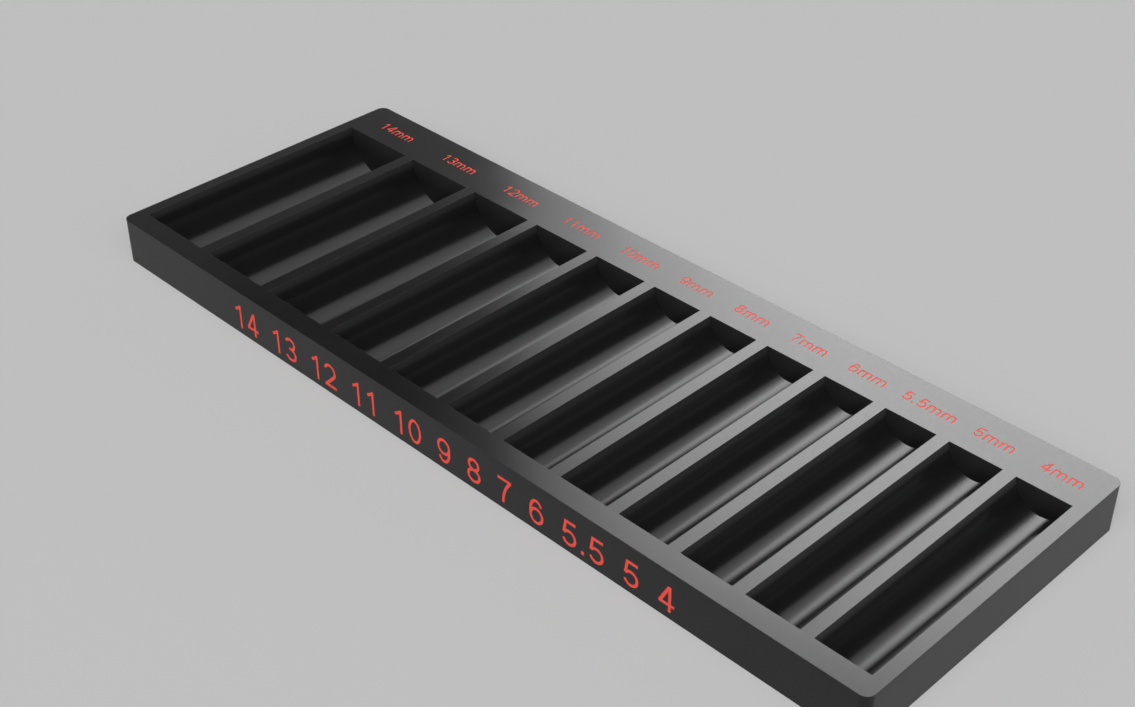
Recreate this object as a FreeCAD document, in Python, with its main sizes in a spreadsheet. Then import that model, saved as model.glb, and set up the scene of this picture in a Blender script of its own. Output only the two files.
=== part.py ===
import FreeCAD, Part
import Sketcher
import functools
import math
import os

# Drawer tray for twelve deep sockets, which lie side by side in half-round troughs.
# Origin: bottom centre. +X runs along the row from the widest trough to the narrowest,
# +Y runs from the front face to the label strip, and +Z is up. Millimetres.

SOCKETS = ["14", "13", "12", "11", "10", "9", "8", "7", "6", "5.5", "5", "4"]

SIZES = {
    # trough diameters, each named after the socket that lies in it
    "trough_14": 20.5,
    "trough_13": 19.0,
    "trough_12": 18.0,
    "trough_11": 16.0,
    "trough_10": 14.5,
    "trough_9": 13.0,
    "trough_8": 12.5,
    "trough_7": 12.0,
    "trough_6": 12.0,
    "trough_5_5": 12.0,
    "trough_5": 12.0,
    "trough_4": 12.0,
    "trough_length": 60.0,
    "floor_below_deepest": 0.75,
    "rib_width": 3.0,
    "end_wall": 3.0,
    "front_wall": 5.0,
    "label_strip": 13.0,
    "corner_radius": 2.0,
    # size marks on the label strip, and numbers on the front face
    "mark_height": 3.0,
    "mark_stroke": 0.36,
    "number_height": 6.0,
    "number_stroke": 0.72,
    "number_gap": 4.0,
    "number_above_base": 1.5,
    # both are inlays, whose face lies a little below the plastic around it
    "inlay_thickness": 0.4,
    "inlay_sunk": 0.05,
}

doc = FreeCAD.newDocument("socket_tray")


def fill_sheet():
    sheet = doc.addObject("Spreadsheet::Sheet", "sizes")
    for row, (alias, value) in enumerate(SIZES.items(), start=1):
        sheet.set(f"A{row}", alias)
        sheet.set(f"B{row}", str(value))
        sheet.setAlias(f"B{row}", alias)
    doc.recompute()
    return sheet


sheet = fill_sheet()


def name_of(socket):
    """A socket's size as it is written in names: 5.5 becomes 5_5."""
    return socket.replace(".", "_")


def diameter_of(socket):
    """Expression for the diameter of one socket's trough."""
    return f"sizes.trough_{name_of(socket)}"


# --- tray -------------------------------------------------------------------------------------

ALL_DIAMETERS = [diameter_of(socket) for socket in SOCKETS]
RIB_COUNT = len(SOCKETS) - 1
TRAY_LENGTH = f"{' + '.join(ALL_DIAMETERS)} + {RIB_COUNT} * sizes.rib_width + 2 * sizes.end_wall"
TRAY_DEPTH = "sizes.front_wall + sizes.trough_length + sizes.label_strip"
TRAY_HEIGHT = f"max({'; '.join(ALL_DIAMETERS)}) / 2 + sizes.floor_below_deepest"


def new_sketch(body, name, role):
    sketch = body.newObject("Sketcher::SketchObject", name)
    plane = next(plane for plane in body.Origin.OriginFeatures if plane.Role == role)
    sketch.AttachmentSupport = (plane, "")
    sketch.MapMode = "FlatFace"
    return sketch


def bind_size(sketch, name, expression, *constraint):
    """Add a constraint and tie its value to the sheet."""
    sketch.renameConstraint(sketch.addConstraint(Sketcher.Constraint(*constraint)), name)
    sketch.setExpression(f"Constraints.{name}", expression)


def draw_plan(sketch):
    """The tray's outline from above, centred on the origin."""
    corners = [FreeCAD.Vector(x, y, 0) for x, y in ((-90, -30), (90, -30), (90, 30), (-90, 30))]
    for side in range(4):
        sketch.addGeometry(Part.LineSegment(corners[side], corners[(side + 1) % 4]))
    for side in range(4):
        direction = ("Horizontal", "Vertical")[side % 2]
        sketch.addConstraint(Sketcher.Constraint("Coincident", side, 2, (side + 1) % 4, 1))
        sketch.addConstraint(Sketcher.Constraint(direction, side))
    sketch.addConstraint(Sketcher.Constraint("Symmetric", 0, 1, 1, 2, -1, 1))
    bind_size(sketch, "tray_length", TRAY_LENGTH, "DistanceX", 0, 1, 0, 2, 180)
    bind_size(sketch, "tray_depth", TRAY_DEPTH, "DistanceY", 1, 1, 1, 2, 60)


def draw_trough_ends(sketch):
    """A circle for each trough, centred on the tray's top plane, with a rib between each two."""
    for index in range(len(SOCKETS)):
        place = FreeCAD.Vector(14 * index - 77, 10, 0)
        sketch.addGeometry(Part.Circle(place, FreeCAD.Vector(0, 0, 1), 5))
    for index, socket in enumerate(SOCKETS):
        name = name_of(socket)
        bind_size(sketch, f"diameter_{name}", diameter_of(socket), "Diameter", index, 10)
        if index > 0:
            step = f"({diameter_of(SOCKETS[index - 1])} + {diameter_of(socket)}) / 2 + sizes.rib_width"
            sketch.addConstraint(Sketcher.Constraint("Horizontal", index - 1, 3, index, 3))
            bind_size(sketch, f"step_to_{name}", step, "DistanceX", index - 1, 3, index, 3, 14)
    start = f"({TRAY_LENGTH}) / 2 - sizes.end_wall - {ALL_DIAMETERS[0]} / 2"
    bind_size(sketch, "first_centre", start, "DistanceX", 0, 3, -1, 1, 77)
    bind_size(sketch, "top_plane", TRAY_HEIGHT, "DistanceY", -1, 1, 0, 3, 10)


def upright_edges(feature):
    """Names of the vertical edges of a feature's shape."""
    names = []
    for number, edge in enumerate(feature.Shape.Edges, start=1):
        direction = edge.Vertexes[-1].Point - edge.Vertexes[0].Point
        if math.hypot(direction.x, direction.y) < 1e-6 < abs(direction.z):
            names.append(f"Edge{number}")
    return names


def make_tray_block():
    """The dark tray with its troughs, before the recesses for the inlays are cut."""
    body = doc.addObject("PartDesign::Body", "tray_block")
    plan = new_sketch(body, "tray_plan", "XY_Plane")
    draw_plan(plan)
    block = body.newObject("PartDesign::Pad", "block")
    block.Profile = plan
    block.setExpression("Length", TRAY_HEIGHT)
    doc.recompute()

    corners = body.newObject("PartDesign::Fillet", "rounded_corners")
    corners.Base = (block, upright_edges(block))
    corners.setExpression("Radius", "sizes.corner_radius")
    doc.recompute()

    ends = new_sketch(body, "trough_ends", "XZ_Plane")
    ends.setExpression("AttachmentOffset.Base.z", f"({TRAY_DEPTH}) / 2 - sizes.front_wall")
    draw_trough_ends(ends)
    troughs = body.newObject("PartDesign::Pocket", "troughs")
    troughs.Profile = ends
    troughs.setExpression("Length", "sizes.trough_length")
    doc.recompute()
    return body


# --- characters -------------------------------------------------------------------------------
# A character is drawn as flat strokes. Its pen knows the character's box and the stroke's width,
# and takes points as shares of that box, which run from the middle of the lower left stroke,
# (0, 0), to the middle of the upper right one, (1, 1).

# shares of a digit's height
DIGIT_WIDTH = 0.64
DIGIT_ADVANCE = 0.776
LETTER_WIDTH = 0.98
LETTER_HEIGHT = 0.724
LETTER_ADVANCE = 1.164
POINT_SIDE = 0.14
POINT_ADVANCE = 0.388


class Pen:
    def __init__(self, width, height, stroke):
        self.width = width
        self.height = height
        self.stroke = stroke
        self.faces = []

    def at(self, x, y):
        across = self.width - self.stroke
        upright = self.height - self.stroke
        return FreeCAD.Vector(self.stroke / 2 + across * x, self.stroke / 2 + upright * y, 0)

    def bar(self, start, end, before=0, after=0):
        """Straight stroke with square ends, lengthened by shares of a stroke's width."""
        along = (end - start).normalize()
        start = start - along * (before * self.stroke)
        end = end + along * (after * self.stroke)
        side = FreeCAD.Vector(-along.y, along.x, 0) * (self.stroke / 2)
        corners = [start + side, end + side, end - side, start - side]
        self.faces.append(Part.Face(Part.makePolygon(corners + corners[:1])))

    def slant(self, start, end):
        """Straight stroke whose ends are cut level."""
        along = end - start
        side = FreeCAD.Vector(self.stroke / 2 * along.Length / along.y, 0, 0)
        corners = [start - side, start + side, end + side, end - side]
        self.faces.append(Part.Face(Part.makePolygon(corners + corners[:1])))

    def ring(self, low, high):
        """Stroke round the ellipse in the box from low to high."""
        outer, inner = (Part.Face(Part.Wire(rim)) for rim in self.rims(low, high, 0, 360))
        self.faces.append(outer.cut(inner))

    def bow(self, low, high, start, end):
        """Part of such a stroke, between two angles in degrees."""
        outer, inner = self.rims(low, high, start, end)
        ends = [Part.makeLine(outer.Vertexes[side].Point, inner.Vertexes[side].Point)
                for side in (0, -1)]
        self.faces.append(Part.Face(Part.Wire(Part.__sortEdges__([outer, inner] + ends))))

    def rims(self, low, high, start, end):
        middle = (low + high) / 2
        reach = (high - low) / 2
        half = self.stroke / 2
        return [ellipse_arc(middle, reach.x + grow, reach.y + grow, start, end)
                for grow in (half, -half)]


def ellipse_arc(middle, across, upright, start, end):
    """Edge of an ellipse with axes along X and Y, between two angles counted from +X."""
    right = FreeCAD.Vector(across, 0, 0)
    up = FreeCAD.Vector(0, upright, 0)
    if upright > across:
        ellipse = Part.Ellipse(middle + up, middle - right, middle)
        start, end = start - 90, end - 90
    else:
        ellipse = Part.Ellipse(middle + right, middle + up, middle)
    return ellipse.toShape(math.radians(start), math.radians(end))


def draw_0(pen):
    pen.ring(pen.at(0, 0), pen.at(1, 1))


def draw_1(pen):
    pen.bar(pen.at(0.64, 0), pen.at(0.64, 1), before=0.5, after=0.5)
    pen.bar(pen.at(0.1, 0.78), pen.at(0.64, 0.98))


def draw_2(pen):
    pen.bow(pen.at(0, 0.41), pen.at(1, 1), -45, 165)
    slope = math.sqrt(0.5) / 2
    pen.bar(pen.at(0.5 + slope, 0.705 - 0.59 * slope), pen.at(0, 0), before=0.1)
    pen.bar(pen.at(0, 0), pen.at(1, 0), before=0.5, after=0.5)


def draw_3(pen):
    pen.bow(pen.at(0.06, 0.53), pen.at(0.94, 1), -90, 160)
    pen.bow(pen.at(0, 0), pen.at(1, 0.53), -160, 90)
    pen.bar(pen.at(0.34, 0.53), pen.at(0.5, 0.53))


def draw_4(pen):
    pen.bar(pen.at(0.74, 0), pen.at(0.74, 1), before=0.5, after=0.5)
    pen.bar(pen.at(0, 0.25), pen.at(1, 0.25), before=0.5, after=0.5)
    pen.slant(pen.at(0, 0.25), FreeCAD.Vector(pen.at(0.72, 1).x, pen.height, 0))


def draw_5(pen):
    pen.bar(pen.at(0.21, 1), pen.at(0.93, 1), before=0.5, after=0.5)
    pen.bar(pen.at(0.21, 1), pen.at(0.06, 0.45))
    pen.bow(pen.at(0, 0), pen.at(1, 0.6), -160, 150)


def draw_6(pen):
    pen.ring(pen.at(0, 0), pen.at(1, 0.63))
    pen.bow(pen.at(0, 0), pen.at(1, 1), 35, 190)


def draw_7(pen):
    foot = pen.at(0.36, 0).x
    width = 3.5 * pen.width
    top = 1.3 * pen.height
    slope = math.degrees(math.asin((pen.height - pen.stroke / 2) / top))
    pen.bar(pen.at(0, 1), pen.at(1, 1), before=0.5, after=0.5)
    pen.bow(FreeCAD.Vector(foot, -top, 0), FreeCAD.Vector(foot + width, top, 0), 180 - slope, 180)


def draw_8(pen):
    pen.ring(pen.at(0.08, 0.53), pen.at(0.92, 1))
    pen.ring(pen.at(0, 0), pen.at(1, 0.53))


def draw_9(pen):
    pen.ring(pen.at(0, 0.37), pen.at(1, 1))
    pen.bow(pen.at(0, 0), pen.at(1, 1), -145, 10)


def draw_m(pen):
    shoulder = 0.64
    pen.bar(pen.at(0, 0), pen.at(0, 1), before=0.5, after=0.5)
    for left in (0, 0.5):
        right = left + 0.5
        pen.bow(pen.at(left, 2 * shoulder - 1), pen.at(right, 1), 0, 180)
        pen.bar(pen.at(right, 0), pen.at(right, shoulder), before=0.5)


def draw_point(pen):
    pen.faces.append(Part.makePlane(pen.width, pen.height))


# how each character is drawn, its width, height and advance
DIGITS = [draw_0, draw_1, draw_2, draw_3, draw_4, draw_5, draw_6, draw_7, draw_8, draw_9]
CHARACTERS = {str(digit): (draw, DIGIT_WIDTH, 1, DIGIT_ADVANCE) for digit, draw in enumerate(DIGITS)}
CHARACTERS["m"] = (draw_m, LETTER_WIDTH, LETTER_HEIGHT, LETTER_ADVANCE)
CHARACTERS["."] = (draw_point, POINT_SIDE, POINT_SIDE, POINT_ADVANCE)


def text_width(text, height):
    return height * sum(CHARACTERS[character][3] for character in text)


@functools.cache
def outline(character, height, stroke):
    """One flat face with the shape of a character: the top of its strokes, fused as slabs."""
    draw, width, tall, advance = CHARACTERS[character]
    pen = Pen(width * height, tall * height, stroke)
    draw(pen)
    slabs = [face.extrude(FreeCAD.Vector(0, 0, -stroke)) for face in pen.faces]
    slab = slabs[0].multiFuse(slabs[1:]).removeSplitter()
    face = max(slab.Faces, key=lambda face: face.CenterOfMass.z)
    return face.translated(FreeCAD.Vector((advance - width) / 2 * height, 0, 0))


def write(text, height, stroke, low, high):
    """Solids of a text, one for each character, between two levels of Z.

    The text stands on the X axis, and the middle of its length is at the origin.
    """
    solids = []
    cursor = -text_width(text, height) / 2
    for character in text:
        face = outline(character, height, stroke).translated(FreeCAD.Vector(cursor, 0, low))
        solids.append(face.extrude(FreeCAD.Vector(0, 0, high - low)))
        cursor += text_width(character, height)
    return solids


# --- inlays -----------------------------------------------------------------------------------

def place_size_marks(centres, depth, top):
    """One mark behind each trough, in the middle of the label strip, on the top face."""
    y = (depth - sheet.label_strip - sheet.mark_height) / 2
    for socket, x in zip(SOCKETS, centres):
        place = FreeCAD.Placement(FreeCAD.Vector(x, y, top), FreeCAD.Rotation())
        yield f"size_mark_{name_of(socket)}", socket + "mm", place


def place_front_numbers(depth):
    """A row of the same sizes along the front face, centred on the tray."""
    widths = [text_width(socket, sheet.number_height) for socket in SOCKETS]
    cursor = -(sum(widths) + (len(SOCKETS) - 1) * sheet.number_gap) / 2
    upright = FreeCAD.Rotation(FreeCAD.Vector(1, 0, 0), 90)
    for socket, width in zip(SOCKETS, widths):
        base = FreeCAD.Vector(cursor + width / 2, -depth / 2, sheet.number_above_base)
        yield f"front_number_{name_of(socket)}", socket, FreeCAD.Placement(base, upright)
        cursor += width + sheet.number_gap


def make_inlays(texts, height, stroke):
    """A node for each text, and the shapes of their recesses, which are open at the surface."""
    nodes = []
    recesses = []
    seat = -sheet.inlay_sunk - sheet.inlay_thickness
    for name, text, place in texts:
        node = doc.addObject("Part::Feature", name)
        node.Shape = Part.makeCompound(write(text, height, stroke, seat, -sheet.inlay_sunk))
        node.Placement = place
        node.Label = name
        nodes.append(node)
        recess = Part.makeCompound(write(text, height, stroke, seat, sheet.inlay_sunk))
        recess.Placement = place
        recesses.append(recess)
    return nodes, recesses


def make_tray_body(block, recesses):
    """The tray block with the recesses cut into its top and front faces."""
    tool = doc.addObject("Part::Feature", "recesses")
    tool.Shape = Part.makeCompound(recesses)
    tray = doc.addObject("Part::Cut", "tray_body")
    tray.Base = block
    tray.Tool = tool
    tray.Label = "tray_body"
    doc.recompute()
    return tray


# --- build, check and write -------------------------------------------------------------------

def build():
    block = make_tray_block()
    centres = [circle.Center.x for circle in doc.trough_ends.Geometry]
    depth = doc.tray_plan.getDatum("tray_depth").Value
    top = doc.block.Length.Value
    marks, mark_recesses = make_inlays(place_size_marks(centres, depth, top),
                                       sheet.mark_height, sheet.mark_stroke)
    numbers, number_recesses = make_inlays(place_front_numbers(depth),
                                           sheet.number_height, sheet.number_stroke)
    return [make_tray_body(block, mark_recesses + number_recesses)] + marks + numbers


def check(nodes):
    for thing in doc.Objects:
        if {"Invalid", "Error"} & set(thing.State):
            raise RuntimeError(f"{thing.Name} failed to build")
    for node in nodes:
        if node.Shape.isNull() or not node.Shape.isValid() or not node.Shape.Solids:
            raise RuntimeError(f"{node.Label} has no valid solid")


nodes = build()
check(nodes)
os.makedirs("parts", exist_ok=True)
for node in nodes:
    node.Shape.exportStep(f"parts/{node.Label}.step")
    print(node.Label, len(node.Shape.Solids), "solids,", round(node.Shape.Volume, 3), "mm3")
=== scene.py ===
import math

import bmesh
import bpy
from mathutils import Matrix, Vector


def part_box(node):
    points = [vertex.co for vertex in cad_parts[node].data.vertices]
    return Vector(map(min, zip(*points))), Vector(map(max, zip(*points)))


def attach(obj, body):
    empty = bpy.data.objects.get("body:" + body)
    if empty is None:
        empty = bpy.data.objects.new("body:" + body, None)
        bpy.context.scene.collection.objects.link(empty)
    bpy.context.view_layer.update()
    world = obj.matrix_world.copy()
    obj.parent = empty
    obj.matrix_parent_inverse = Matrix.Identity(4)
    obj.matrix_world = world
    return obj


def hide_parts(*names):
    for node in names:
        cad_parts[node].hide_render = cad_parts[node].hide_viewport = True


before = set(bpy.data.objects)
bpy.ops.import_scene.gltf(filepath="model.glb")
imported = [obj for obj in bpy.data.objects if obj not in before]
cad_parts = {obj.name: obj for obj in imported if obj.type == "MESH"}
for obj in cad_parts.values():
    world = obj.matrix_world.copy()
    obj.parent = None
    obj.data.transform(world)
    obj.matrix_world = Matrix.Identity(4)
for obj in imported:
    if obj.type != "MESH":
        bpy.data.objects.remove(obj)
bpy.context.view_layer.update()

millimetre = 0.001     # the dictionaries give lengths on the tray in mm


# small helpers for node trees, meshes and modifiers

def addNode(tree, kind, inputs=None, **settings):
    node = tree.nodes.new(kind)
    for key, value in settings.items():
        setattr(node, key, value)
    for key, value in (inputs or {}).items():
        if isinstance(value, bpy.types.NodeSocket):
            tree.links.new(value, node.inputs[key])
        else:
            node.inputs[key].default_value = value
    return node


def calculate(tree, operation, *values):
    return addNode(tree, "ShaderNodeMath", dict(enumerate(values)), operation=operation).outputs[0]


def splitPlace(tree, place):
    return addNode(tree, "ShaderNodeSeparateXYZ", {"Vector": place}).outputs


def mapRange(tree, value, source, target, **settings):
    return addNode(tree, "ShaderNodeMapRange", {
        "Value": value, "From Min": source[0], "From Max": source[1],
        "To Min": target[0], "To Max": target[1]}, **settings).outputs[0]


def mixColours(tree, share, first, second):
    return addNode(tree, "ShaderNodeMix", {
        "Factor": share, "A": first, "B": second}, data_type="RGBA").outputs[2]


def addNoise(tree, place, scale, detail, roughness=0.5):
    return addNode(tree, "ShaderNodeTexNoise", {
        "Vector": place, "Scale": scale, "Detail": detail, "Roughness": roughness}).outputs[0]


def addBump(tree, height, distance, **below):
    return addNode(tree, "ShaderNodeBump", {
        "Height": height, "Strength": 1, "Distance": distance * millimetre, **below}).outputs[0]


def unevenRoughness(tree, clouds, look):
    spread = look["roughnessSpread"]
    return calculate(tree, "MULTIPLY_ADD", clouds, spread, look["roughness"] - spread / 2)


def emptyTree(owner):
    # the node tree of a new material or world, with nothing in it yet
    owner.use_nodes = True
    owner.node_tree.nodes.clear()
    return owner.node_tree


def addToScene(name, data):
    thing = bpy.data.objects.new(name, data)
    bpy.context.scene.collection.objects.link(thing)
    return thing


def bakeModifiers(thing):
    # the evaluated mesh becomes the object's own, and the modifiers go
    graph = bpy.context.evaluated_depsgraph_get()
    baked = bpy.data.meshes.new_from_object(thing.evaluated_get(graph), depsgraph=graph)
    baked.name = thing.name
    thing.modifiers.clear()
    thing.data = baked


# black moulded plastic: satin skin, a fine grain, draw lines along the trough walls, and painted light
# and shade in the troughs

blackPlastic = {
    "colour": (0.0062, 0.0062, 0.0066, 1),
    "scuffedColour": (0.012, 0.012, 0.0125, 1),
    "scuffRange": (0.45, 0.75),    # the cloud levels between which the scuffs come in
    "scuffShare": 0.5,
    # the troughs' black is a little paler than the skin, as painted light
    "troughColour": (0.0072, 0.0072, 0.0075, 1),
    # painted light and shade: the side walls have these greys at these depths below the rim, paler near
    # the rim and darker deeper down
    "wallPaintedTones": ((0.5, 0.042), (1.25, 0.033), (2.0, 0.0145), (3.0, 0.0105), (4.2, 0.0072)),
    "wallTint": 1.02,              # their blue as a share of their red
    # the painted light on the side walls grows towards the narrow troughs
    "paleRange": (34, 98),         # along the tray they get paler from the first to the second,
    "paleGain": 30,                # by this times what a grey has over troughColour
    "endWallPaintedLight": (0.0197, 0.0197, 0.02, 1),     # paler at the top of the end walls, as painted light
    "endWallDepth": 6,             # and how far down it fades out
    "wornEdgeColour": (0.018, 0.018, 0.0185, 1),
    "roughness": 0.155,
    "roughnessSpread": 0.04,
    "troughRoughness": 0.05,       # added in the troughs
    "endWallRoughness": 0.28,      # added on top of that on their flat ends
    "wornEdgeRoughness": 0.45,     # added on the softened edges
    "ior": 1.45,
    "troughShadedShine": 0.68,           # the share of the plain reflection that the troughs keep, dimmed as painted shade
    "cloudsPerMetre": 90,          # the slow change of gloss and colour
    "cloudDetail": 4,
    "cloudRoughness": 0.6,
    "grainPerMetre": 3200,
    "grainDetail": 2,
    "grainHeight": 0.0015,
    "linesPerMetre": 2600,         # across the troughs
    "lineStretch": 0.006,          # along the troughs, as a share of across
    "lineDetail": 3,
    "lineHeight": 0.003,
}


def addPaintedWallShade(tree, place, look, rimLevel):
    # painted light and shade on the side walls, over the troughs' colour: paler near the rim, darker
    # deeper down, raised towards the small end
    split = splitPlace(tree, place)
    deepest = look["wallPaintedTones"][-1][0] * millimetre
    depth = mapRange(tree, split["Z"], (rimLevel, rimLevel - deepest), (0, 1))
    ramp = addNode(tree, "ShaderNodeValToRGB", {"Fac": depth})
    stops = ramp.color_ramp.elements
    stops.remove(stops[1])
    for number, (down, grey) in enumerate(look["wallPaintedTones"]):
        share = down * millimetre / deepest
        stop = stops.new(share) if number else stops[0]
        stop.position = share
        extra = grey - look["troughColour"][0]
        stop.color = (extra, extra, extra * look["wallTint"], 1)
    paintedExtra = ramp.outputs["Color"]
    paleRange = [end * millimetre for end in look["paleRange"]]
    pale = mapRange(tree, split["X"], paleRange, (0, look["paleGain"]))
    gain = calculate(tree, "MULTIPLY_ADD", paintedExtra, pale, 1)
    return addNode(tree, "ShaderNodeVectorMath", {
        0: paintedExtra, 1: gain, 2: look["troughColour"][:3]}, operation="MULTIPLY_ADD").outputs[0]


def addPaintedEndShade(tree, place, look, rimLevel):
    # painted light and shade on the flat ends of the troughs: paler towards the rim, darker deeper down
    depth = look["endWallDepth"] * millimetre
    nearRim = mapRange(tree, splitPlace(tree, place)["Z"], (rimLevel - depth, rimLevel), (0, 1),
                       interpolation_type="SMOOTHSTEP")
    return mixColours(tree, nearRim, look["troughColour"], look["endWallPaintedLight"])


def makeBlackPlastic(look, rimLevel):
    material = bpy.data.materials.new("blackPlastic")
    tree = emptyTree(material)
    place = addNode(tree, "ShaderNodeTexCoord").outputs["Object"]
    trough, ends, edge = [
        addNode(tree, "ShaderNodeAttribute", attribute_name=name).outputs["Fac"]
        for name in ("trough", "endWall", "softEdge")]

    clouds = addNoise(tree, place, look["cloudsPerMetre"], look["cloudDetail"], look["cloudRoughness"])
    scuffs = mapRange(tree, clouds, look["scuffRange"], (0, look["scuffShare"]))
    skin = mixColours(tree, scuffs, look["colour"], look["scuffedColour"])
    # the trough walls get painted light near the rim and painted shade deeper down
    paintedWallShade = addPaintedWallShade(tree, place, look, rimLevel)
    paintedEndShade = addPaintedEndShade(tree, place, look, rimLevel)
    walls = mixColours(tree, ends, paintedWallShade, paintedEndShade)
    unworn = mixColours(tree, trough, skin, walls)
    colour = mixColours(tree, edge, unworn, look["wornEdgeColour"])

    roughness = unevenRoughness(tree, clouds, look)
    for where, extra in ((trough, "troughRoughness"), (ends, "endWallRoughness"),
                         (edge, "wornEdgeRoughness")):
        roughness = calculate(tree, "MULTIPLY_ADD", where, look[extra], roughness)
    # the troughs keep only part of their reflection: painted shade
    shine = calculate(tree, "MULTIPLY_ADD", trough, look["troughShadedShine"] - 1, 1)

    grain = addNoise(tree, place, look["grainPerMetre"], look["grainDetail"])
    stretched = addNode(tree, "ShaderNodeMapping", {
        "Vector": place, "Scale": (1, look["lineStretch"], 1)}).outputs[0]
    lines = addNoise(tree, stretched, look["linesPerMetre"], look["lineDetail"])
    linesInTroughs = calculate(tree, "MULTIPLY", lines, trough)
    grainBump = addBump(tree, grain, look["grainHeight"])
    bump = addBump(tree, linesInTroughs, look["lineHeight"], Normal=grainBump)
    shader = addNode(tree, "ShaderNodeBsdfPrincipled", {
        "Base Color": colour, "Roughness": roughness, "IOR": look["ior"],
        "Specular Tint": shine, "Normal": bump})
    addNode(tree, "ShaderNodeOutputMaterial", {"Surface": shader.outputs[0]})
    return material


# red inlay plastic: matt, with a slight unevenness of colour

redPlastic = {
    "colour": (0.98, 0.106, 0.073, 1),
    "deepColour": (0.94, 0.092, 0.062, 1),
    "roughness": 0.62,
    "roughnessSpread": 0.12,
    "ior": 1.3,
    "cloudsPerMetre": 700,
    "cloudDetail": 3,
    "grainPerMetre": 5200,
    "grainDetail": 2,
    "grainHeight": 0.003,
}


def makeRedPlastic(look):
    material = bpy.data.materials.new("redPlastic")
    tree = emptyTree(material)
    place = addNode(tree, "ShaderNodeTexCoord").outputs["Object"]
    clouds = addNoise(tree, place, look["cloudsPerMetre"], look["cloudDetail"])
    grain = addNoise(tree, place, look["grainPerMetre"], look["grainDetail"])
    shader = addNode(tree, "ShaderNodeBsdfPrincipled", {
        "Base Color": mixColours(tree, clouds, look["colour"], look["deepColour"]),
        "Roughness": unevenRoughness(tree, clouds, look), "IOR": look["ior"],
        "Normal": addBump(tree, grain, look["grainHeight"])})
    addNode(tree, "ShaderNodeOutputMaterial", {"Surface": shader.outputs[0]})
    return material


# inlays: the size marks and the front numbers stay as they come, and get their red

redMaterial = makeRedPlastic(redPlastic)
inlayNames = sorted(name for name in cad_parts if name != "tray_body")
inlays = [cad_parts[name] for name in inlayNames]
for inlay in inlays:
    inlay.data.materials.clear()
    inlay.data.materials.append(redMaterial)
print("inlays:", len(inlays))


# tray: a rounded block with a row of half-round troughs, a recess for each character,
# and every outer edge and trough rim just softened

tray = {
    "sizes": {
        "Length": 212.5,
        "Depth": 78,
        "Height": 11,
        "Corner Radius": 2,
        "Rib Width": 3,
        "End Wall": 3,
        "Front Wall": 5,
        "Trough Length": 60,
    },
    "diameters": (20.5, 19, 18, 16, 14.5, 13, 12.5, 12, 12, 12, 12, 12),
    "facets": 144,             # around a whole cylinder
    "cornerSteps": 14,
    "softness": 0.05,          # width of the softened edges
    "softSteps": 2,
    "softenAngle": 60,         # edges in the top face and the underside that are sharper, in degrees
    "slantRange": (0.05, 0.999),   # rise of the normal of a face that lies on a softened edge
    "smoothAngle": 35,         # edges that are less sharp are shaded smooth
    "recessOvershoot": 0.3,    # how far the recess cutters stand out of the surface
    "onSurface": 0.01,         # a point this near to a face counts as on it
    "blockMerge": 0.01,        # points this near to each other become one
    "cutMerge": 0.002,
    "inlayMerge": 0.001,
}


def addBlock(tree, given, spec):
    # a rounded rectangle, filled and raised, closed below by its flipped copy
    rectangle = addNode(tree, "GeometryNodeCurvePrimitiveQuadrilateral", {
        "Width": given["Length"], "Height": given["Depth"]})
    rounded = addNode(tree, "GeometryNodeFilletCurve", {
        "Curve": rectangle.outputs[0], "Count": spec["cornerSteps"],
        "Radius": given["Corner Radius"]}, mode="POLY")
    plate = addNode(tree, "GeometryNodeFillCurve", {"Curve": rounded.outputs[0]}, mode="NGONS")
    raised = addNode(tree, "GeometryNodeExtrudeMesh", {
        "Mesh": plate.outputs[0], "Offset Scale": given["Height"], "Individual": False})
    underside = addNode(tree, "GeometryNodeFlipFaces", {"Mesh": plate.outputs[0]})
    shell = addNode(tree, "GeometryNodeJoinGeometry")
    tree.links.new(raised.outputs["Mesh"], shell.inputs[0])
    tree.links.new(underside.outputs[0], shell.inputs[0])
    return addNode(tree, "GeometryNodeMergeByDistance", {
        "Geometry": shell.outputs[0], "Distance": spec["blockMerge"] * millimetre}).outputs[0]


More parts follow.
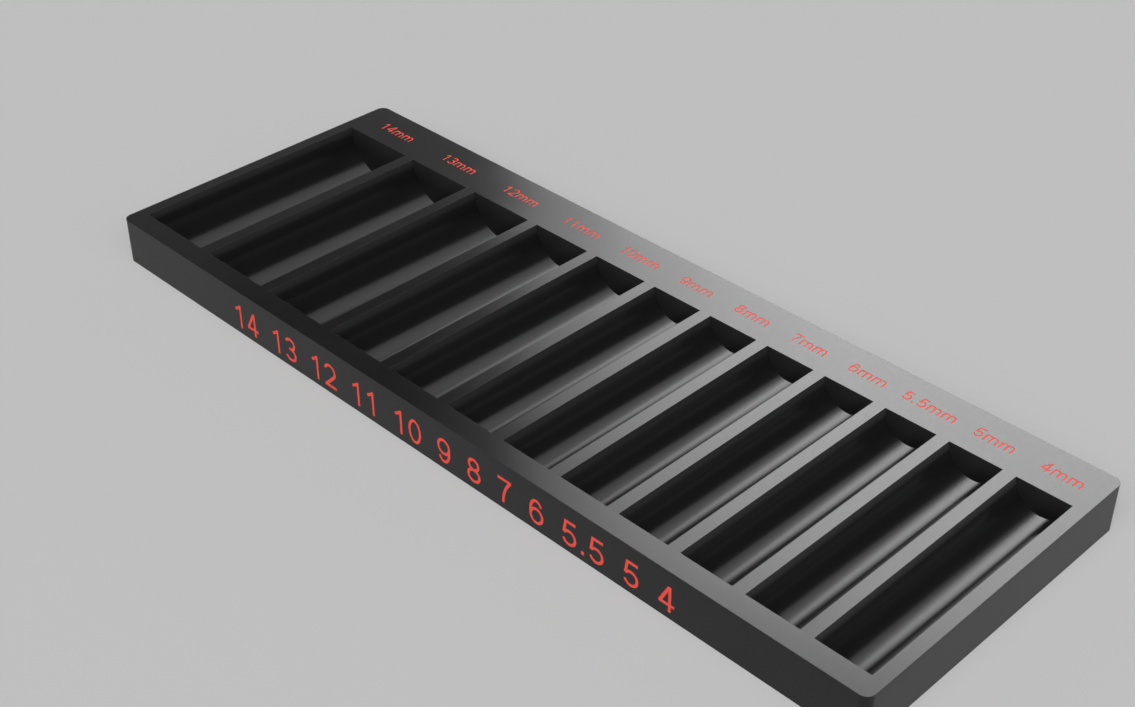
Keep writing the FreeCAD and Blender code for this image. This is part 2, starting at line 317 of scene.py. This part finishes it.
def addTroughCutters(tree, given):
    # a point for each trough, side by side with a rib between
    diameter = addNode(tree, "GeometryNodeInputNamedAttribute", {"Name": "diameter"}).outputs[0]
    pitch = calculate(tree, "ADD", diameter, given["Rib Width"])
    before = addNode(tree, "GeometryNodeAccumulateField", {0: pitch}).outputs["Trailing"]
    radius = calculate(tree, "MULTIPLY", diameter, 0.5)
    leftEnd = calculate(tree, "MULTIPLY_ADD", given["Length"], -0.5, given["End Wall"])
    across = calculate(tree, "ADD", calculate(tree, "ADD", leftEnd, before), radius)
    frontEnd = calculate(tree, "MULTIPLY_ADD", given["Depth"], -0.5, given["Front Wall"])
    middle = calculate(tree, "MULTIPLY_ADD", given["Trough Length"], 0.5, frontEnd)
    place = addNode(tree, "ShaderNodeCombineXYZ", {"X": across, "Y": middle, "Z": given["Height"]})
    points = addNode(tree, "GeometryNodeSetPosition", {
        "Geometry": given["Trough Points"], "Position": place.outputs[0]})

    # one cylinder lying along Y on each point, with its walls and its flat ends marked
    cylinder = addNode(tree, "GeometryNodeMeshCylinder", {
        "Vertices": given["Facets"], "Radius": 1, "Depth": 1})
    marked = cylinder.outputs["Mesh"]
    ends = calculate(tree, "SUBTRACT", 1.0, cylinder.outputs["Side"])
    for name, value in (("trough", 1.0), ("endWall", ends)):
        marked = addNode(tree, "GeometryNodeStoreNamedAttribute", {
            "Geometry": marked, "Name": name, "Value": value},
            data_type="FLOAT", domain="FACE").outputs[0]
    lying = addNode(tree, "GeometryNodeTransform", {
        "Geometry": marked, "Rotation": (math.pi / 2, 0, 0)})
    size = addNode(tree, "ShaderNodeCombineXYZ", {"X": radius, "Y": given["Trough Length"], "Z": radius})
    cutters = addNode(tree, "GeometryNodeInstanceOnPoints", {
        "Points": points.outputs[0], "Instance": lying.outputs[0], "Scale": size.outputs[0]})
    return addNode(tree, "GeometryNodeRealizeInstances", {"Geometry": cutters.outputs[0]}).outputs[0]


def weighSharpEdges(tree, mesh, height, spec):
    # the edges to soften: the sharp ones that lie in the top face or in the underside
    level = splitPlace(tree, addNode(tree, "GeometryNodeInputPosition").outputs[0])["Z"]
    halfHeight = calculate(tree, "MULTIPLY", height, 0.5)
    fromMiddle = calculate(tree, "ABSOLUTE", calculate(tree, "SUBTRACT", level, halfHeight))
    nearly = calculate(tree, "SUBTRACT", halfHeight, spec["onSurface"] * millimetre)
    outermost = calculate(tree, "GREATER_THAN", fromMiddle, nearly)
    angle = addNode(tree, "GeometryNodeInputMeshEdgeAngle").outputs["Unsigned Angle"]
    sharp = calculate(tree, "GREATER_THAN", angle, math.radians(spec["softenAngle"]))
    return addNode(tree, "GeometryNodeStoreNamedAttribute", {
        "Geometry": mesh, "Name": "bevel_weight_edge",
        "Value": calculate(tree, "MULTIPLY", outermost, sharp)},
        data_type="FLOAT", domain="EDGE").outputs[0]


def makeTrayTree(spec):
    tree = bpy.data.node_groups.new("trayShape", "GeometryNodeTree")
    sockets = tree.interface
    sockets.new_socket("Geometry", in_out="OUTPUT", socket_type="NodeSocketGeometry")
    sockets.new_socket("Trough Points", in_out="INPUT", socket_type="NodeSocketGeometry")
    for label in spec["sizes"]:
        sockets.new_socket(label, in_out="INPUT", socket_type="NodeSocketFloat")
    sockets.new_socket("Facets", in_out="INPUT", socket_type="NodeSocketInt")
    sockets.new_socket("Plastic", in_out="INPUT", socket_type="NodeSocketMaterial")
    given = addNode(tree, "NodeGroupInput").outputs

    cut = addNode(tree, "GeometryNodeMeshBoolean", {
        "Mesh 1": addBlock(tree, given, spec), "Mesh 2": addTroughCutters(tree, given)},
        operation="DIFFERENCE", solver="EXACT")
    clean = addNode(tree, "GeometryNodeMergeByDistance", {
        "Geometry": cut.outputs[0], "Distance": spec["cutMerge"] * millimetre})
    weighed = weighSharpEdges(tree, clean.outputs[0], given["Height"], spec)
    whole = addNode(tree, "GeometryNodeRealizeInstances", {"Geometry": weighed})
    finished = addNode(tree, "GeometryNodeSetMaterial", {
        "Geometry": whole.outputs[0], "Material": given["Plastic"]})
    addNode(tree, "NodeGroupOutput", {"Geometry": finished.outputs[0]})
    return tree


def addNodesModifier(thing, tree, values):
    modifier = thing.modifiers.new(tree.name, "NODES")
    modifier.node_group = tree
    for item in tree.interface.items_tree:
        if item.in_out == "INPUT" and item.name in values:
            modifier[item.identifier] = values[item.name]


def makeRecessCutters(names, spec):
    # merged copies of the inlays, with their outer faces pushed out past the surface
    overshoot = spec["recessOvershoot"] * millimetre
    near = spec["onSurface"] * millimetre
    corners, faces = [], []
    for name in names:
        onFront = name.startswith("front")
        low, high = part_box(name)
        shape = bmesh.new()
        shape.from_mesh(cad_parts[name].data)
        bmesh.ops.remove_doubles(shape, verts=shape.verts, dist=spec["inlayMerge"] * millimetre)
        first = len(corners)
        for corner in shape.verts:
            x, y, z = corner.co
            if onFront and y < low.y + near:
                y -= overshoot
            if not onFront and z > high.z - near:
                z += overshoot
            corners.append((x, y, z))
        faces += [[first + corner.index for corner in face.verts] for face in shape.faces]
        shape.free()
    mesh = bpy.data.meshes.new("recessCutters")
    mesh.from_pydata(corners, [], faces)
    return addToScene("recessCutters", mesh)


def markSoftEdges(mesh, spec):
    # the narrow faces of the softened edges get their own attribute, for the worn tone
    soft = mesh.attributes.new("softEdge", "FLOAT", "FACE")
    half = spec["sizes"]["Height"] * millimetre / 2
    band = half - spec["softness"] * millimetre
    least, most = spec["slantRange"]
    for face, item in zip(mesh.polygons, soft.data):
        slanted = least < abs(face.normal.z) < most
        item.value = 1.0 if slanted and abs(face.center.z - half) > band else 0.0


def makeTray(spec, plastic):
    points = bpy.data.meshes.new("trayBody")
    points.from_pydata([(0, 0, 0)] * len(spec["diameters"]), [], [])
    widths = points.attributes.new("diameter", "FLOAT", "POINT")
    for item, diameter in zip(widths.data, spec["diameters"]):
        item.value = diameter * millimetre
    body = addToScene("trayBody", points)
    values = {label: size * millimetre for label, size in spec["sizes"].items()}
    values.update({"Facets": spec["facets"], "Plastic": plastic})
    addNodesModifier(body, makeTrayTree(spec), values)

    soften = body.modifiers.new("soften", "BEVEL")
    soften.limit_method = "WEIGHT"
    soften.width = spec["softness"] * millimetre
    soften.segments = spec["softSteps"]
    bakeModifiers(body)
    markSoftEdges(body.data, spec)
    print("tray block and troughs:", len(body.data.polygons), "faces")

    cutters = makeRecessCutters(inlayNames, spec)
    recess = body.modifiers.new("recess", "BOOLEAN")
    recess.object = cutters
    recess.solver = "EXACT"
    bakeModifiers(body)
    bpy.data.objects.remove(cutters)
    mesh = body.data
    for spare in ("diameter", "bevel_weight_edge"):
        mesh.attributes.remove(mesh.attributes[spare])
    mesh.materials.clear()      # the inlays' red came along with the cutters
    mesh.materials.append(plastic)
    mesh.polygons.foreach_set("material_index", [0] * len(mesh.polygons))
    mesh.shade_smooth()
    mesh.set_sharp_from_angle(angle=math.radians(spec["smoothAngle"]))
    body.modifiers.new("evenNormals", "WEIGHTED_NORMAL").keep_sharp = True
    bakeModifiers(body)
    print("tray with recesses:", len(body.data.polygons), "faces")
    return body


blackMaterial = makeBlackPlastic(blackPlastic, tray["sizes"]["Height"] * millimetre)
trayBody = makeTray(tray, blackMaterial)
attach(trayBody, "root")
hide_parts("tray_body")


# floor and world: a grey floor, and a world that is brightest at the horizon

studio = {
    "floorGrey": 0.43,
    "floorHalfWidth": 6,      # m
    "floorGlow": 0.76,        # the tone that evens out the floor where it is seen
    "glowSeen": 0.3,          # its share for the camera
    "glowReflected": 0.07,    # and in reflections
    "horizonLight": 0.47,
    "upperLight": 0.065,
    "upperStart": 0.50,       # height of the direction at which the world is down to upperLight
}


def makeFloor(spec):
    material = bpy.data.materials.new("floorGrey")
    tree = emptyTree(material)
    grey = spec["floorGrey"]
    lit = addNode(tree, "ShaderNodeBsdfDiffuse", {"Color": (grey, grey, grey, 1)})
    glow = addNode(tree, "ShaderNodeEmission", {"Color": (1, 1, 1, 1), "Strength": spec["floorGlow"]})
    path = addNode(tree, "ShaderNodeLightPath").outputs
    reflected = calculate(tree, "MULTIPLY", path["Is Glossy Ray"], spec["glowReflected"])
    share = calculate(tree, "MULTIPLY_ADD", path["Is Camera Ray"], spec["glowSeen"], reflected)
    mixed = addNode(tree, "ShaderNodeMixShader", {0: share, 1: lit.outputs[0], 2: glow.outputs[0]})
    addNode(tree, "ShaderNodeOutputMaterial", {"Surface": mixed.outputs[0]})
    half = spec["floorHalfWidth"]
    mesh = bpy.data.meshes.new("floor")
    mesh.from_pydata([(-half, -half, 0), (half, -half, 0), (half, half, 0), (-half, half, 0)],
                     [], [(0, 1, 2, 3)])
    mesh.materials.append(material)
    floor = addToScene("floor", mesh)


def makeWorld(spec):
    world = bpy.data.worlds.new("studio")
    bpy.context.scene.world = world
    tree = emptyTree(world)
    direction = addNode(tree, "ShaderNodeTexCoord").outputs["Generated"]
    light = mapRange(tree, splitPlace(tree, direction)["Z"], (0, spec["upperStart"]),
                     (spec["horizonLight"], spec["upperLight"]))
    glow = addNode(tree, "ShaderNodeBackground", {"Color": (1, 1, 1, 1), "Strength": light})
    addNode(tree, "ShaderNodeOutputWorld", {"Surface": glow.outputs[0]})


makeFloor(studio)
makeWorld(studio)
print("floor and world")


# lamps: soft panels all round, given by the angles in which the tray sees them, in degrees

uprightLamps = {
    "leftPanel": dict(left=175, right=136.9, bottom=3, top=32, distance=8.04, radiance=0.2),
    "backPanelOuter": dict(left=136.7, right=103, bottom=20, top=48.5, distance=8.00, radiance=2.4),
    "backPanelMiddle": dict(left=133.3, right=105, bottom=21, top=43.5, distance=7.96, radiance=2.0),
    "backPanelInner": dict(left=129.6, right=107, bottom=22, top=44, distance=7.92, radiance=1.37),
    "backPanelHeart": dict(left=125.5, right=103, bottom=23, top=47.5, distance=7.88, radiance=0.97),
}
facingLamps = {
    "topPanel": dict(azimuth=96.9, elevation=61.5, across=31, tall=26, radiance=1.74, roll=-44),
    "frontPanelOuter": dict(azimuth=-75, elevation=45, across=50, tall=46, radiance=1.55),
    "frontPanelMiddle": dict(azimuth=-75, elevation=45, across=38, tall=35, distance=7.96, radiance=1.5),
    "frontPanelInner": dict(azimuth=-75, elevation=45, across=27, tall=25, distance=7.92, radiance=1.55),
    "sidePanel": dict(azimuth=-5, elevation=38, across=36, tall=30, radiance=2.2),
}
lampsPastTray = ("backPanelOuter", "backPanelMiddle", "backPanelInner", "backPanelHeart", "topPanel")


def aim(thing, direction):
    back = -Vector(direction).normalized()
    right = Vector((0, 0, 1)).cross(back).normalized()
    thing.matrix_world = Matrix((right, back.cross(right), back)).transposed().to_4x4()


def addLamp(name, width, height, radiance):
    data = bpy.data.lights.new(name, "AREA")
    data.shape = "RECTANGLE"
    data.size = width
    data.size_y = height
    data.energy = radiance * math.pi * width * height
    lamp = addToScene(name, data)
    lamp.visible_camera = False
    return lamp


def addUprightLamp(name, left, right, bottom, top, distance, radiance):
    # a standing panel between two azimuths and two elevations
    azimuth = math.radians((left + right) / 2)
    half = math.radians(abs(left - right) / 2)
    low = distance * math.tan(math.radians(bottom))
    high = distance * math.tan(math.radians(top))
    lamp = addLamp(name, 2 * distance * math.tan(half), high - low, radiance)
    toLamp = Vector((math.cos(azimuth), math.sin(azimuth), 0))
    aim(lamp, -toLamp)
    lamp.location = toLamp * distance + Vector((0, 0, (low + high) / 2))


def addFacingLamp(name, azimuth, elevation, across, tall, radiance, distance=8, roll=0):
    # a panel square to the line from the tray to its middle
    turn, rise = math.radians(azimuth), math.radians(elevation)
    level = math.cos(rise)
    toLamp = Vector((math.cos(turn) * level, math.sin(turn) * level, math.sin(rise)))
    width = 2 * distance * math.tan(math.radians(across / 2))
    height = 2 * distance * math.tan(math.radians(tall / 2))
    lamp = addLamp(name, width, height, radiance)
    aim(lamp, -toLamp)
    lamp.matrix_world = lamp.matrix_world @ Matrix.Rotation(math.radians(roll), 4, "Z")
    lamp.location = toLamp * distance


def letPast(things, lampNames):
    # the things throw no shadow of these lamps, on themselves or on the floor
    passed = bpy.data.collections.new("letPast")
    for thing in things:
        passed.objects.link(thing)
    for item in passed.collection_objects:
        item.light_linking.link_state = "EXCLUDE"
    for name in lampNames:
        bpy.data.objects[name].light_linking.blocker_collection = passed


for name, lamp in uprightLamps.items():
    addUprightLamp(name, **lamp)
for name, lamp in facingLamps.items():
    addFacingLamp(name, **lamp)
letPast([trayBody] + inlays, lampsPastTray)
print("lamps:", len(uprightLamps) + len(facingLamps))


# camera

view = {
    "lens": 56.06,
    "sensor": 36,
    "location": (0.21279, -0.21371, 0.21970),      # m
    "direction": (-1, 1, -1),
}


def makeCamera(spec):
    data = bpy.data.cameras.new("camera")
    data.sensor_width = spec["sensor"]
    data.lens = spec["lens"]
    camera = addToScene("camera", data)
    aim(camera, spec["direction"])
    camera.location = spec["location"]
    bpy.context.scene.camera = camera


makeCamera(view)
bpy.context.scene.view_settings.view_transform = "Standard"
print("camera")
